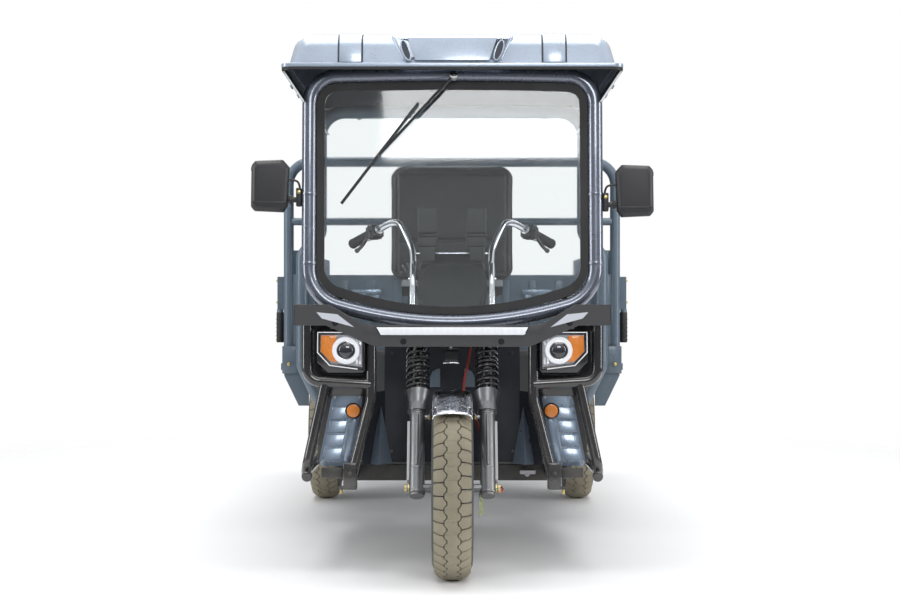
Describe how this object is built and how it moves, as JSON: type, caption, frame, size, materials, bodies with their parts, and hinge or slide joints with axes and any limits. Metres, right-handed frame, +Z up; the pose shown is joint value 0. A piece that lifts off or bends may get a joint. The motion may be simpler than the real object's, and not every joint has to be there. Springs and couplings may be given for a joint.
{
  "type": "electric cargo tricycle",
  "caption": "Electric cargo tricycle with a roofed open cab, one steered front wheel and a drop-side cargo bed.",
  "frame": {"origin": "on the floor, under the middle of the vehicle's box", "axes": "+Z up, -Y to the front, +X to the vehicle's left side"},
  "size_m": [1.386, 3.55, 1.736],
  "materials": {
    "silver_blue_shell": "gloss",
    "bed_paint": "satin",
    "chassis_paint": "satin",
    "black_gloss": "gloss",
    "dark_panel": "matte",
    "well_paint": "satin",
    "fork_metal": "satin",
    "spring_black": "gloss",
    "chrome_bar": "polished",
    "black_plastic": "matte",
    "black_rubber": "matte",
    "tyre_rubber": "matte",
    "rim_paint": "satin",
    "clear_glass": "polished",
    "lamp_white": "gloss",
    "lamp_amber": "gloss",
    "lamp_red": "gloss",
    "seat_leather": "satin",
    "plate_blank": "satin",
    "cast_grey": "satin",
    "cable_red": "satin"
  },
  "bodies": {
    "chassis": {"chassis_frame": "chassis_paint", "front_uprights": "chassis_paint", "steering_head": "chassis_paint", "cab_floor": "dark_panel", "wheel_well": "well_paint", "leg_shields": "silver_blue_shell", "front_hoop": "silver_blue_shell", "windshield_rubber": "black_rubber", "windshield_glass": "clear_glass", "wiper": "black_plastic", "mirrors": "black_plastic", "rear_hoop": "bed_paint", "roof_shell": "silver_blue_shell", "roof_edge_rubber": "black_rubber", "bumper": "dark_panel", "light_strip": "lamp_white", "headlights": "lamp_white", "guard_bars": "black_gloss", "side_reflectors": "lamp_amber", "seat_box": "dark_panel", "battery_block": "black_plastic", "seat_cushion": "seat_leather", "backrest": "seat_leather", "backrest_straps": "chassis_paint", "headboard_frame": "bed_paint", "headboard_panel": "bed_paint", "bed_frame": "bed_paint", "bed_floor": "bed_paint", "rear_axle": "chassis_paint", "drive_motor": "cast_grey", "leaf_springs": "chassis_paint", "tail_lamps": "lamp_red", "rear_plate": "plate_blank", "mud_flaps": "black_rubber", "brake_pedal": "chassis_paint"},
    "steering": {"fork": "fork_metal", "fork_springs": "spring_black", "front_mudguard": "chrome_bar", "brake_cable": "cable_red", "handlebar": "chrome_bar", "grips": "black_rubber", "console": "black_plastic"},
    "front_wheel": {"front_tyre": "tyre_rubber", "front_rim": "rim_paint"},
    "rear_wheel_left": {"rear_tyre_left": "tyre_rubber", "rear_rim_left": "rim_paint"},
    "rear_wheel_right": {"rear_tyre_right": "tyre_rubber", "rear_rim_right": "rim_paint"},
    "side_gate_left": {"side_gate_left": "bed_paint", "side_latch_left": "black_rubber"},
    "side_gate_right": {"side_gate_right": "bed_paint", "side_latch_right": "black_rubber"},
    "tailgate": {"tailgate": "bed_paint", "tail_latches": "black_rubber"}
  },
  "joints": [
    {"name": "steering_turn", "type": "hinge", "parent": "chassis", "child": "steering", "pos_m": [0, -1.4497, 0.257], "axis": [0, 0.5, 0.866], "range_deg": [-38, 38]},
    {"name": "front_wheel_spin", "type": "hinge", "parent": "steering", "child": "front_wheel", "pos_m": [0, -1.493, 0.282], "axis": [1, 0, 0], "continuous": true},
    {"name": "rear_wheel_left_spin", "type": "hinge", "parent": "chassis", "child": "rear_wheel_left", "pos_m": [0.55, 0.752, 0.282], "axis": [1, 0, 0], "continuous": true},
    {"name": "rear_wheel_right_spin", "type": "hinge", "parent": "chassis", "child": "rear_wheel_right", "pos_m": [-0.55, 0.752, 0.282], "axis": [1, 0, 0], "continuous": true},
    {"name": "side_gate_left_drop", "type": "hinge", "parent": "chassis", "child": "side_gate_left", "pos_m": [0.655, 0.8, 0.672], "axis": [0, 1, 0], "range_deg": [0, 180]},
    {"name": "side_gate_right_drop", "type": "hinge", "parent": "chassis", "child": "side_gate_right", "pos_m": [-0.655, 0.8, 0.672], "axis": [0, -1, 0], "range_deg": [0, 180]},
    {"name": "tailgate_drop", "type": "hinge", "parent": "chassis", "child": "tailgate", "pos_m": [0, 1.765, 0.672], "axis": [-1, 0, 0], "range_deg": [0, 180]}
  ]
}
